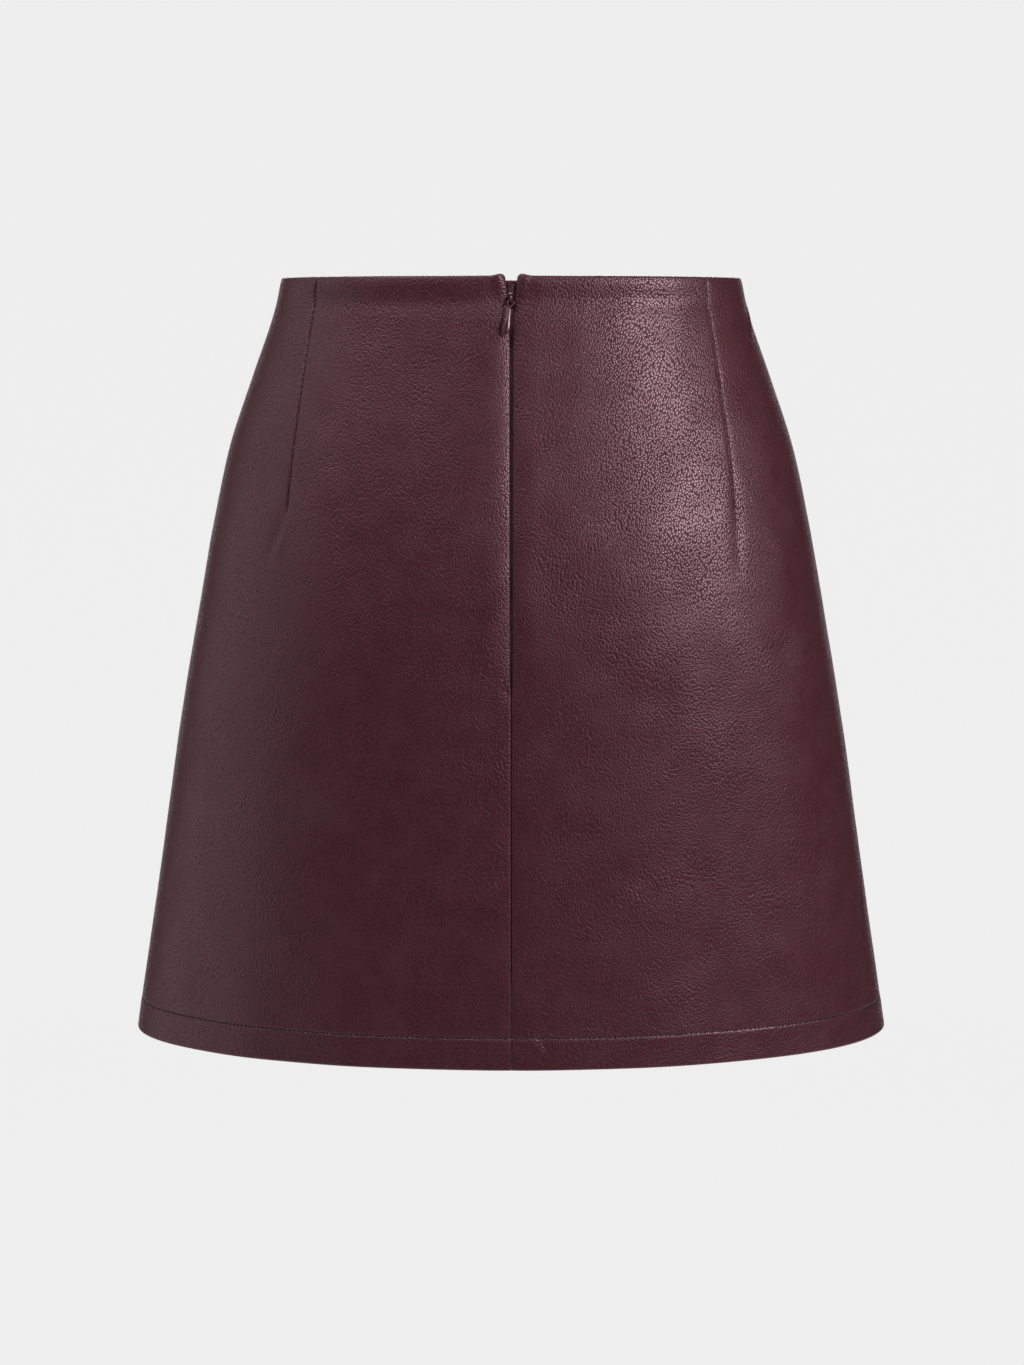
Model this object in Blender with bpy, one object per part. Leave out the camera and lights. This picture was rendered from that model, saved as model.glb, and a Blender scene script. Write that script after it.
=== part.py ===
"""Leather A-line mini skirt with a concealed back zip, filled out as worn and hollow.

Metres, +Z up. The wearer faces +Y, so the zip is on -Y and the wearer's right is +X. The origin
is the middle of the waist opening, level with its top edge, and drops are measured down from it.

Three panels are sewn edge to edge: a front, and two backs that meet at the centre back, where the
zip opens the seam from the waist to the seat. Each panel is a sheet of leather on one common form,
double where its edges are turned in. The form is a stack of rings through SECTIONS, taken in at
the darts and let out in soft folds towards the hem.
"""
import collections
import functools
import math

import bmesh
import bpy
import numpy as np
from mathutils import Matrix, Vector

# Cut and leather
LENGTH = 0.4095             # waist to hem, straight down
LEATHER = 0.0012            # one layer, with its knitted backing
GAP = 0.0003                # between two pieces that touch or are sewn edge to edge
HEM_TURNING = 0.0180
WAIST_TURNING = 0.0120
BACK_SEAM_TURNING = 0.0150
SIDE_SEAM_TURNING = 0.0100
TURNING_STEP = 0.0010       # width over which a turned edge's second layer ends

# The rings of the form: drop below the waist, half the width, the depth behind and in front of
# the side seams, and the squareness of the ring, where 2 is an ellipse.
SECTION_COLUMNS = ("drop", "half_width", "back", "front", "squareness")
SECTIONS = (
    (0.0000, 0.1243, 0.0880, 0.0920, 2.10),
    (0.0200, 0.1292, 0.0920, 0.0950, 2.12),
    (0.0500, 0.1394, 0.0995, 0.1000, 2.18),
    (0.0900, 0.1528, 0.1100, 0.1055, 2.25),
    (0.1300, 0.1615, 0.1195, 0.1090, 2.30),
    (0.1800, 0.1705, 0.1275, 0.1135, 2.32),
    (0.2400, 0.1807, 0.1320, 0.1195, 2.28),
    (0.3200, 0.1922, 0.1370, 0.1270, 2.15),
    (0.4095, 0.2057, 0.1420, 0.1350, 2.00),
)

# Soft folds that hang from the hips: the half of the skirt they are on, their place as a share of
# the way from its middle to a side seam (+ is the wearer's right), half their width in the same
# shares, how far they stand out at the hem, and the drop at which they start.
FOLD_COLUMNS = ("half", "place", "half_width", "height", "start")
FOLDS = (
    ("back", 0.05, 0.10, 0.0010, 0.240),
    ("back", 0.29, 0.12, 0.0016, 0.200),
    ("back", 0.66, 0.15, 0.0012, 0.250),
    ("back", -0.32, 0.10, 0.0014, 0.220),
    ("back", -0.53, 0.10, 0.0014, 0.180),
    ("back", -0.82, 0.12, 0.0010, 0.260),
    ("front", 0.22, 0.13, 0.0014, 0.230),
    ("front", 0.62, 0.13, 0.0014, 0.190),
    ("front", -0.12, 0.11, 0.0010, 0.260),
    ("front", -0.45, 0.13, 0.0016, 0.210),
    ("front", -0.80, 0.12, 0.0012, 0.240),
)

# Darts and seams. A dart's reach is the distance of its line from the middle of its half.
BACK_DART = {"waist_reach": 0.1122, "tip_reach": 0.1245, "tip_drop": 0.1300}
FRONT_DART = {"waist_reach": 0.0900, "tip_reach": 0.1010, "tip_drop": 0.0900}
DART_FADE = 0.0300          # length over which a dart's groove runs out at its tip
SEAM_DIP = 0.0008           # how far a sewn edge sinks below the panels beside it
SEAM_ROLL = 0.0030          # width of the rounded edge beside a seam or a dart

# Zip opening: half the gap between the two backs, at drops below the waist
ZIP_GAPS = (
    (0.0000, 0.0032),
    (0.0070, 0.0023),
    (0.0130, 0.0017),
    (0.0210, 0.0010),
    (0.0400, 0.0006),
    (0.2100, 0.0004),
    (0.2150, GAP / 2),
    (LENGTH, GAP / 2),
)
TAPE_TOP = 0.0030
TAPE_BOTTOM = 0.2300
TAPE_WIDTH = 0.0120
TAPE_THICKNESS = 0.0010
TAPE_SPANS = 2
TAPE_GAPS = (               # half the gap between the tapes, wide enough for the slider's neck
    (TAPE_TOP, 0.0013),
    (0.0190, 0.0013),
    (0.0260, 0.0004),
    (TAPE_BOTTOM, 0.0004),
)

# Slider, in its own axes: X across, Y into the skirt and Z up along the back
SLIDER_DROP = 0.0126
SLIDER_SIZE = (0.0068, 0.0024, 0.0090)
SLIDER_BEVEL = 0.0005
NECK_THICKNESS = 0.0012
NECK_HEIGHT = 0.0041
CROWN_REACH = 0.0022        # how far the crown stands out of the leather
CROWN_OUTLINE = (           # outwards as a share of its reach, up as a share of half the neck's height
    (-0.35, 1.00),
    (-0.80, 0.65),
    (-1.00, 0.10),
    (-1.00, -0.60),
    (-0.75, -1.00),
)
CROWN_WINDOW = (            # the loop that the pull's bar runs through, in the same shares
    (-0.06, 0.50),
    (-0.60, 0.45),
    (-0.77, 0.00),
    (-0.77, -0.55),
    (-0.65, -0.75),
    (-0.06, -0.75),
)
STOP_DROP = 0.2170
STOP_SIZE = (0.0046, 0.0012, 0.0040)
STOP_BEVEL = 0.0003

# Pull tab: it hangs from a bar that runs under the crown, a little out of line
PULL_BAR_OUT = 0.0010       # the bar's middle, out from the leather
PULL_BAR_LOW = 0.0004       # and below the middle of the slider
PULL_THICKNESS = 0.0010
PULL_EDGE = 0.0002
PULL_LEAN = math.radians(10.0)
PULL_SWING = math.radians(4.0)      # how far it stands off the leather
PULL_OUTLINE = (            # distance below the bar's middle, and half the width there
    (-0.0004, 0.0019),
    (0.0022, 0.0020),
    (0.0038, 0.0013),
    (0.0060, 0.0010),
    (0.0095, 0.0014),
    (0.0130, 0.0020),
    (0.0160, 0.0021),
    (0.0180, 0.0016),
    (0.0192, 0.0007),
)
PULL_EYE = (                # the window that the crown stands in
    (0.0004, 0.0013),
    (0.0022, 0.0013),
    (0.0032, 0.0008),
)
TAPE_INSET = 2 * LEATHER + SEAM_DIP + GAP       # the tapes' outer face, in from the leather's
SLIDER_INSET = TAPE_INSET + TAPE_THICKNESS + GAP    # and the slider's body behind them

# Rows down a panel, chosen so that one lies on each side of every turning's edge
ROWS = (
    0.0, 0.0030, 0.0070, WAIST_TURNING, WAIST_TURNING + TURNING_STEP, 0.0210, 0.0350, 0.0550, 0.0790,
    0.0990, 0.1190, 0.1300, 0.1500, 0.1800, 0.2100, 0.2150, 0.2300, 0.2600, 0.2900, 0.3200, 0.3450,
    0.3700, LENGTH - HEM_TURNING - TURNING_STEP, LENGTH - HEM_TURNING, 0.4010, LENGTH,
)
SPANS_BACK = (6, 6)         # columns between the centre back, the dart and the side seam
SPANS_FRONT = (6, 10, 6)
RING_STEPS = 360            # points that measure the girth of half a ring
FORM_STEP = 0.0010          # distance over which the form's slope is read
MERGE = 0.000001            # points closer than this are one
SHARP = math.radians(35.0)

LEATHER_COLOUR = (0.068, 0.026, 0.031)
TAPE_COLOUR = (0.030, 0.014, 0.016)
METAL_COLOUR = (0.115, 0.035, 0.048)


# ---------------------------------------------------------------------------------------------
# The form
# ---------------------------------------------------------------------------------------------
def read_table(rows, names, column, drop):
    """A table's column at a drop, on a smooth curve through its rows."""
    drops = [row[0] for row in rows]
    values = [row[names.index(column)] for row in rows]
    slopes = np.gradient(values, drops)
    last = len(drops) - 2
    row = int(np.clip(np.searchsorted(drops, drop) - 1, 0, last))
    span = drops[row + 1] - drops[row]
    t = (drop - drops[row]) / span
    return ((1 + 2 * t) * (1 - t) ** 2 * values[row] + t * (1 - t) ** 2 * span * slopes[row]
            + t * t * (3 - 2 * t) * values[row + 1] + t * t * (t - 1) * span * slopes[row + 1])


def read_steps(rows, drop):
    """A table of drops and values, read at a drop in straight lines between its rows."""
    return float(np.interp(drop, [row[0] for row in rows], [row[1] for row in rows]))


def ring_point(drop, turn):
    """A point on a ring of the form. Turn is 0 at the centre back and pi at the centre front."""
    section = {name: read_table(SECTIONS, SECTION_COLUMNS, name, drop) for name in SECTION_COLUMNS[1:]}
    power = 2.0 / section["squareness"]
    depth = np.where(np.cos(turn) > 0, section["back"], section["front"])
    across = section["half_width"] * np.abs(np.sin(turn)) ** power
    along = -depth * np.sign(np.cos(turn)) * np.abs(np.cos(turn)) ** power
    return across, along


@functools.lru_cache(maxsize=None)
def ring_arcs(drop):
    """Turns round half a ring, the distance to each from the centre back, and the side seam's."""
    turns = np.linspace(0.0, math.pi, RING_STEPS + 1)
    across, along = ring_point(drop, turns)
    steps = np.hypot(np.diff(across), np.diff(along))
    arcs = np.concatenate(([0.0], np.cumsum(steps)))
    return turns, arcs, float(np.interp(math.pi / 2, turns, arcs))


def smooth(value):
    """0 below 0, 1 above 1, and a soft step between."""
    value = min(max(value, 0.0), 1.0)
    return value * value * (3.0 - 2.0 * value)


def fold_height(half, place, drop):
    """How far the soft folds stand out at a place on one half of the skirt."""
    height = 0.0
    for fold in FOLDS:
        row = dict(zip(FOLD_COLUMNS, fold))
        if row["half"] != half:
            continue
        growth = max(drop - row["start"], 0.0) / (LENGTH - row["start"])
        bell = math.exp(-((place - row["place"]) / row["half_width"]) ** 2)
        height += row["height"] * bell * smooth(growth)
    return height


def form_point(side, arc, drop):
    """The bare form at a distance round from the centre back, on side +1 (right) or -1 (left)."""
    turns, arcs, seam = ring_arcs(drop)
    across, along = ring_point(drop, np.interp(arc, arcs, turns))
    return Vector((side * float(across), float(along), -drop))


def form_frame(side, arc, drop):
    """A point of the leather's outer face and the direction out of it, soft folds included."""
    here = form_point(side, arc, drop)
    ahead = form_point(side, arc + FORM_STEP, drop)
    behind = form_point(side, max(arc - FORM_STEP, 0.0), drop)
    below = form_point(side, arc, min(drop + FORM_STEP, LENGTH))
    above = form_point(side, arc, max(drop - FORM_STEP, 0.0))
    out = (below - above).cross(ahead - behind).normalized() * side
    turns, arcs, seam = ring_arcs(drop)
    if arc <= seam:
        folds = fold_height("back", side * arc / seam, drop)
    else:
        folds = fold_height("front", side * (arcs[-1] - arc) / (arcs[-1] - seam), drop)
    return here + out * folds, out


# ---------------------------------------------------------------------------------------------
# Panels
# ---------------------------------------------------------------------------------------------
def back_quarter(drop):
    """Distance from the centre back to the side seam."""
    return ring_arcs(drop)[2]


def front_quarter(drop):
    """Distance from the centre front to the side seam."""
    turns, arcs, seam = ring_arcs(drop)
    return arcs[-1] - seam


def dart_reach(dart, quarter, drop):
    """Distance of a dart's line from the middle. Below its tip it keeps its share of the quarter."""
    tip_drop = dart["tip_drop"]
    if drop > tip_drop:
        return quarter(drop) * dart["tip_reach"] / quarter(tip_drop)
    return dart["waist_reach"] + (dart["tip_reach"] - dart["waist_reach"]) * drop / tip_drop


def dart_depth(dart, drop):
    """The groove along a dart, which runs out at its tip."""
    return SEAM_DIP * smooth((dart["tip_drop"] - drop) / DART_FADE)


def seam_depth(drop):
    """How far a sewn edge sinks, the same all the way down."""
    return SEAM_DIP


def back_stops(drop):
    """Distances from the centre back to a back panel's edge, its dart and its side seam edge."""
    dart = dart_reach(BACK_DART, back_quarter, drop)
    return (read_steps(ZIP_GAPS, drop), dart, back_quarter(drop) - GAP / 2)


def front_stops(drop):
    """Distances from the centre back, round by the right, to the front's edges and darts."""
    turns, arcs, seam = ring_arcs(drop)
    middle = arcs[-1]
    reach = dart_reach(FRONT_DART, front_quarter, drop)
    return (seam + GAP / 2, middle - reach, middle + reach, 2 * middle - seam - GAP / 2)


Column = collections.namedtuple("Column", "stop share lead trail")


def panel_columns(spans, turnings):
    """Columns across a panel, each a share of the way from one stop to the next, less a lead and
    a trail that keep it a fixed distance from them."""
    first, last = turnings
    columns = []
    for stop, count in enumerate(spans):
        leads = [SEAM_ROLL]
        trails = [SEAM_ROLL]
        if stop == 0:
            leads += [first, first + TURNING_STEP]
        if stop == len(spans) - 1:
            trails += [last, last + TURNING_STEP]
        columns += [Column(stop, 0.0, lead, 0.0) for lead in [0.0] + leads]
        columns += [Column(stop, step / count, leads[-1], trails[-1]) for step in range(1, count)]
        columns += [Column(stop, 1.0, 0.0, trail) for trail in reversed(trails)]
    columns.append(Column(len(spans) - 1, 1.0, 0.0, 0.0))
    return columns


def column_arc(column, reach):
    """A column's distance from the centre back, between the panel's stops."""
    start = reach[column.stop] + column.lead
    end = reach[column.stop + 1] - column.trail
    return start + (end - start) * column.share


def is_turned(drop, arc, reach, turnings):
    """Whether the leather is double here, at an edge that is turned in."""
    if drop <= WAIST_TURNING or drop >= LENGTH - HEM_TURNING:
        return True
    slack = TURNING_STEP / 2
    return arc - reach[0] < turnings[0] + slack or reach[-1] - arc < turnings[1] + slack


def make_panel(name, stops, spans, turnings, dips, place):
    """A sheet on the form between its stops, thickened inwards and doubled at its edges."""
    columns = panel_columns(spans, turnings)
    bm = bmesh.new()
    bmesh.ops.create_grid(bm, x_segments=len(columns) - 1, y_segments=len(ROWS) - 1, size=0.5)
    doubled = bm.verts.layers.deform.verify()
    for vert in bm.verts:
        column = columns[round((vert.co.x + 0.5) * (len(columns) - 1))]
        drop = ROWS[round((0.5 - vert.co.y) * (len(ROWS) - 1))]
        reach = stops(drop)
        arc = column_arc(column, reach)
        point, out = place(arc, drop)
        if column.share in (0.0, 1.0) and column.lead == column.trail == 0.0:
            point -= out * dips[column.stop + int(column.share)](drop)
        vert.co = point
        vert[doubled][0] = 1.0 if is_turned(drop, arc, reach, turnings) else 0.5
    bmesh.ops.recalc_face_normals(bm, faces=bm.faces)
    bm.faces.ensure_lookup_table()
    middle = bm.faces[len(bm.faces) // 2]
    if middle.normal.dot(middle.calc_center_median() * Vector((1, 1, 0))) < 0:
        bmesh.ops.reverse_faces(bm, faces=bm.faces)
    panel = add_object(name, bm, leather())
    panel.vertex_groups.new(name="doubled")
    thicken(panel, 2 * LEATHER).vertex_group = "doubled"
    return panel


def thicken(piece, thickness):
    """Give a sheet its thickness, inwards from the outer face."""
    wall = piece.modifiers.new("wall", "SOLIDIFY")
    wall.thickness = thickness
    wall.offset = -1.0
    wall.use_rim = True
    return wall


def make_back_panel(name, side):
    """One of the two backs, with its dart, from the centre back to a side seam."""
    dips = (seam_depth, functools.partial(dart_depth, BACK_DART), seam_depth)
    turnings = (BACK_SEAM_TURNING, SIDE_SEAM_TURNING)
    place = functools.partial(form_frame, side)
    return make_panel(name, back_stops, SPANS_BACK, turnings, dips, place)


def place_front(arc, drop):
    """A point of the front, by its distance from the centre back round by the right."""
    middle = ring_arcs(drop)[1][-1]
    if arc <= middle:
        return form_frame(1, arc, drop)
    return form_frame(-1, 2 * middle - arc, drop)


def make_front_panel():
    """The front, in one piece from side seam to side seam, with two darts."""
    dart = functools.partial(dart_depth, FRONT_DART)
    dips = (seam_depth, dart, dart, seam_depth)
    turnings = (SIDE_SEAM_TURNING, SIDE_SEAM_TURNING)
    return make_panel("front_panel", front_stops, SPANS_FRONT, turnings, dips, place_front)


# ---------------------------------------------------------------------------------------------
# Zip
# ---------------------------------------------------------------------------------------------
def make_tape(name, side):
    """A zip tape behind the turned edge of a back panel, made from the panel's own points."""
    rows = [drop for drop in ROWS if TAPE_TOP <= drop <= TAPE_BOTTOM]
    bm = bmesh.new()
    bmesh.ops.create_grid(bm, x_segments=TAPE_SPANS, y_segments=len(rows) - 1, size=0.5)
    for vert in bm.verts:
        drop = rows[round((0.5 - vert.co.y) * (len(rows) - 1))]
        arc = TAPE_WIDTH * (vert.co.x + 0.5) + read_steps(TAPE_GAPS, drop)
        point, out = form_frame(side, arc, drop)
        vert.co = point - out * TAPE_INSET
    bmesh.ops.recalc_face_normals(bm, faces=bm.faces)
    bm.faces.ensure_lookup_table()
    if bm.faces[0].normal.y > 0:
        bmesh.ops.reverse_faces(bm, faces=bm.faces)
    tape = add_object(name, bm, tape_cloth())
    thicken(tape, TAPE_THICKNESS)
    return tape


def zip_axes(drop):
    """Axes on the leather at the centre back: X across, Y into the skirt, Z up along the back."""
    point, out = form_frame(1, 0.0, drop)
    into = -out
    up = Vector((1, 0, 0)).cross(into)
    axes = Matrix((Vector((1, 0, 0)), into, up)).transposed().to_4x4()
    return Matrix.Translation(point) @ axes


def bevelled_block(size, bevel):
    """A block about its middle with all its edges rounded."""
    bm = bmesh.new()
    bmesh.ops.create_cube(bm, size=1.0)
    bmesh.ops.scale(bm, vec=size, verts=bm.verts)
    bmesh.ops.bevel(bm, geom=bm.edges[:], offset=bevel, segments=2, profile=0.5, affect="EDGES",
                    material=-1)
    return bm


def flat_solid(outline, window, half_thickness, bevel=0.0):
    """A plate from an outline and a window in it, both in X and Z, centred on Y."""
    curve = bpy.data.curves.new("outline", "CURVE")
    curve.dimensions = "2D"
    curve.fill_mode = "BOTH"
    curve.extrude = half_thickness - bevel
    curve.bevel_depth = bevel
    curve.bevel_resolution = 1
    curve.offset = -bevel
    for loop in (outline, window):
        spline = curve.splines.new("POLY")
        spline.points.add(len(loop) - 1)
        for point, (across, up) in zip(spline.points, loop):
            point.co = (across, up, 0.0, 1.0)
        spline.use_cyclic_u = True
    holder = bpy.data.objects.new("outline", curve)
    bpy.context.scene.collection.objects.link(holder)
    bpy.context.view_layer.update()
    mesh = bpy.data.meshes.new_from_object(holder.evaluated_get(bpy.context.evaluated_depsgraph_get()))
    bpy.data.objects.remove(holder)
    bm = bmesh.new()
    bm.from_mesh(mesh)
    bpy.data.meshes.remove(mesh)
    bmesh.ops.rotate(bm, verts=bm.verts, matrix=Matrix.Rotation(math.pi / 2, 3, "X"))
    bmesh.ops.remove_doubles(bm, verts=bm.verts, dist=MERGE)
    bmesh.ops.recalc_face_normals(bm, faces=bm.faces)
    return bm


def mirrored_loop(half):
    """A closed loop from its right half, as (across, up) points."""
    right = [(across, -along) for along, across in half]
    return right + [(-across, up) for across, up in reversed(right)]


def make_slider():
    """The slider: a body behind the tapes, and a neck and crown that stand out between them."""
    body = add_object("zip_slider", bevelled_block(SLIDER_SIZE, SLIDER_BEVEL), metal())
    deep = SLIDER_INSET + SLIDER_SIZE[1] / 2
    body.data.transform(Matrix.Translation((0, deep, 0)))
    top = NECK_HEIGHT / 2
    outline = [(deep, top)] + [(out * CROWN_REACH, up * top) for out, up in CROWN_OUTLINE] + [(deep, -top)]
    window = [(out * CROWN_REACH, up * top) for out, up in CROWN_WINDOW]
    crown_mesh = flat_solid(outline, window, NECK_THICKNESS / 2)
    # the plate lies across X, and the crown stands along Y
    bmesh.ops.rotate(crown_mesh, verts=crown_mesh.verts, matrix=Matrix.Rotation(math.pi / 2, 3, "Z"))
    crown = add_object("crown", crown_mesh, metal())
    crown.hide_render = True
    crown.display_type = "WIRE"
    for piece in (body, crown):
        piece.matrix_world = zip_axes(SLIDER_DROP)
    join = body.modifiers.new("crown", "BOOLEAN")
    join.operation = "UNION"
    join.solver = "EXACT"
    join.object = crown
    return body


def make_pull_tab():
    """The pull tab, its origin on the axis it swings on."""
    bm = flat_solid(mirrored_loop(PULL_OUTLINE), mirrored_loop(PULL_EYE), PULL_THICKNESS / 2, PULL_EDGE)
    tab = add_object("zip_pull_tab", bm, metal())
    bar = Matrix.Translation((0, -PULL_BAR_OUT, -PULL_BAR_LOW))
    hang = Matrix.Rotation(PULL_LEAN, 4, "Y") @ Matrix.Rotation(-PULL_SWING, 4, "X")
    tab.matrix_world = zip_axes(SLIDER_DROP) @ bar @ hang
    return tab


def make_stop():
    """The metal clamp that closes the lower end of the zip."""
    stop = add_object("zip_bottom_stop", bevelled_block(STOP_SIZE, STOP_BEVEL), metal())
    inset = SLIDER_INSET + STOP_SIZE[1] / 2
    stop.matrix_world = zip_axes(STOP_DROP) @ Matrix.Translation((0, inset, 0))
    return stop


# ---------------------------------------------------------------------------------------------
# Materials and objects
# ---------------------------------------------------------------------------------------------
def make_material(name, colour, roughness, metallic):
    """A Principled BSDF of one colour, made once."""
    material = bpy.data.materials.get(name) or bpy.data.materials.new(name)
    material.use_nodes = True
    shader = material.node_tree.nodes["Principled BSDF"]
    shader.inputs["Base Color"].default_value = (*colour, 1.0)
    shader.inputs["Roughness"].default_value = roughness
    shader.inputs["Metallic"].default_value = metallic
    return material


def leather():
    """Wine-red leather with a soft shine."""
    return make_material("leather", LEATHER_COLOUR, 0.42, 0.0)


def tape_cloth():
    """The woven tape of the zip, dyed to match."""
    return make_material("zip_tape", TAPE_COLOUR, 0.85, 0.0)


def metal():
    """The lacquered metal of the slider, pull and stop."""
    return make_material("zip_metal", METAL_COLOUR, 0.3, 0.6)


def add_object(name, bm, material):
    """An object in the scene from a bmesh, shaded smooth."""
    mesh = bpy.data.meshes.new(name)
    bm.to_mesh(mesh)
    bm.free()
    mesh.materials.append(material)
    mesh.shade_smooth()
    mesh.set_sharp_from_angle(angle=SHARP)
    piece = bpy.data.objects.new(name, mesh)
    bpy.context.scene.collection.objects.link(piece)
    return piece


def main():
    """Clear the scene and build the skirt."""
    for piece in list(bpy.data.objects):
        bpy.data.objects.remove(piece)
    make_front_panel()
    make_back_panel("back_panel_left", -1)
    make_back_panel("back_panel_right", 1)
    make_tape("zip_tape_left", -1)
    make_tape("zip_tape_right", 1)
    make_slider()
    make_pull_tab()
    make_stop()


main()
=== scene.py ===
"""Leather A-line mini skirt with a concealed back zip, shown on its CAD frame.

Every sheet of leather is one thin shell on the skirt's form, with its edges turned in as they are
sewn: 18 mm at the hem, 12 mm at the waist, 15 mm at the centre back and 10 mm at the side seams.
Metres, +Z up, the zip on -Y and the wearer's right on +X, as in the CAD frame.
"""
import math

import bmesh
import bpy
import numpy as np
from bpy.props import FloatProperty, FloatVectorProperty, PointerProperty
from mathutils import Matrix, Vector, noise


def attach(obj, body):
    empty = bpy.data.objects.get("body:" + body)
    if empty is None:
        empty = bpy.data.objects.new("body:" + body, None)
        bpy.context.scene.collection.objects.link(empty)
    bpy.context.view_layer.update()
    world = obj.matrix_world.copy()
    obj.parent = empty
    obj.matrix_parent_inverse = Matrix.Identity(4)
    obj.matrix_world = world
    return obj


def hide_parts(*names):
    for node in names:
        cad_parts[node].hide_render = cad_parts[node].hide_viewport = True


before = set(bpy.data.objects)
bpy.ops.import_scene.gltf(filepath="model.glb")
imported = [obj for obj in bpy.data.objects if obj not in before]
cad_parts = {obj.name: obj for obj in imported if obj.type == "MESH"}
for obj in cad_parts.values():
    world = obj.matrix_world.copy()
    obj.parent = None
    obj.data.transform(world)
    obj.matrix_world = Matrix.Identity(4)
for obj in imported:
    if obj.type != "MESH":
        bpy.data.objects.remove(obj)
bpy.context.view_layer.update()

bl_info = {
    "name": "Leather Skirt",
    "version": (1, 0, 0),
    "blender": (4, 5, 0),
    "location": "View3D > Sidebar > Skirt",
    "description": "Builds a leather mini skirt with a back zip on its CAD frame",
    "category": "Object",
}

# ---- The form, as the CAD has it ----
LENGTH = 0.4095
TOUCH = 0.000004             # half the space left between two edges sewn together
# Rings of the form: drop, half width, depth of the back, depth of the front and squareness
SECTIONS = (
    (0.0000, 0.1243, 0.0880, 0.0920, 2.10),
    (0.0200, 0.1292, 0.0920, 0.0950, 2.12),
    (0.0500, 0.1394, 0.0995, 0.1000, 2.18),
    (0.0900, 0.1528, 0.1100, 0.1055, 2.25),
    (0.1300, 0.1615, 0.1195, 0.1090, 2.30),
    (0.1800, 0.1705, 0.1275, 0.1135, 2.32),
    (0.2400, 0.1807, 0.1320, 0.1195, 2.28),
    (0.3200, 0.1922, 0.1370, 0.1270, 2.15),
    (0.4095, 0.2057, 0.1420, 0.1350, 2.00),
)
# Soft folds: half, place as a share of the way from its middle to a side seam (+ is the wearer's
# right), half width in the same shares, height at the hem, and the drop at which it starts.
FOLDS = (
    ("back", 0.05, 0.10, 0.0010, 0.240),
    ("back", 0.29, 0.12, 0.0016, 0.200),
    ("back", 0.66, 0.15, 0.0012, 0.250),
    ("back", -0.32, 0.10, 0.0014, 0.220),
    ("back", -0.53, 0.10, 0.0014, 0.180),
    ("back", -0.82, 0.12, 0.0010, 0.260),
    ("front", 0.22, 0.13, 0.0014, 0.230),
    ("front", 0.62, 0.13, 0.0014, 0.190),
    ("front", -0.12, 0.11, 0.0010, 0.260),
    ("front", -0.45, 0.13, 0.0016, 0.210),
    ("front", -0.80, 0.12, 0.0012, 0.240),
)
# Darts: distance from the middle of their half at the waist and at the tip, and the tip's drop
BACK_DART = (0.1122, 0.1245, 0.1300)
FRONT_DART = (0.0900, 0.1010, 0.0900)
ZIP_GAPS = (                # drop, and half the gap between the two back panels
    (0.0000, 0.0032),
    (0.0070, 0.0023),
    (0.0130, 0.0017),
    (0.0210, 0.0010),
    (0.0400, 0.0006),
    (0.2100, 0.0004),
    (0.2150, TOUCH),
    (LENGTH, TOUCH),
)
# The zip's tapes: drop and half the gap between them, then their places
TAPE_GAPS = ((0.003, 0.0013), (0.019, 0.0013), (0.026, 0.0004), (0.230, 0.0004))
TAPE_TOP = 0.0030
TAPE_INSET = 0.0035
ZIP_CLOSED = 0.0175         # drop below which the two sides of the coil are joined
ZIP_END = 0.2160
SLIDER_DROP = 0.0126
PULL_BAR_OUT = 0.0010       # the bar's middle, out from the leather
PULL_BAR_LOW = 0.0004       # and below the middle of the slider
PULL_LEAN = math.radians(10.0)
PULL_SWING = math.radians(4.0)      # how far it stands off the leather
PULL_EYE = 0.00166          # radius of the eye's ring, and of its wire
PULL_WIRE = 0.00034
PULL_COLLARS = ((0.0037, 0.00125), (0.0049, 0.00110))      # distance below the bar, half width
PULL_DROP = (               # distance below the bar, half width, half depth
    (0.0038, 0.0003, 0.0003),
    (0.0048, 0.0008, 0.0006),
    (0.0070, 0.0010, 0.0008),
    (0.0100, 0.0014, 0.0010),
    (0.0130, 0.0019, 0.0012),
    (0.0155, 0.0021, 0.0011),
    (0.0176, 0.0017, 0.0009),
    (0.0188, 0.0009, 0.0005),
    (0.0192, 0.0002, 0.0002),
)
RING_STEPS = 360
FORM_STEP = 0.0010          # distance over which directions on the form are measured

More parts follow.
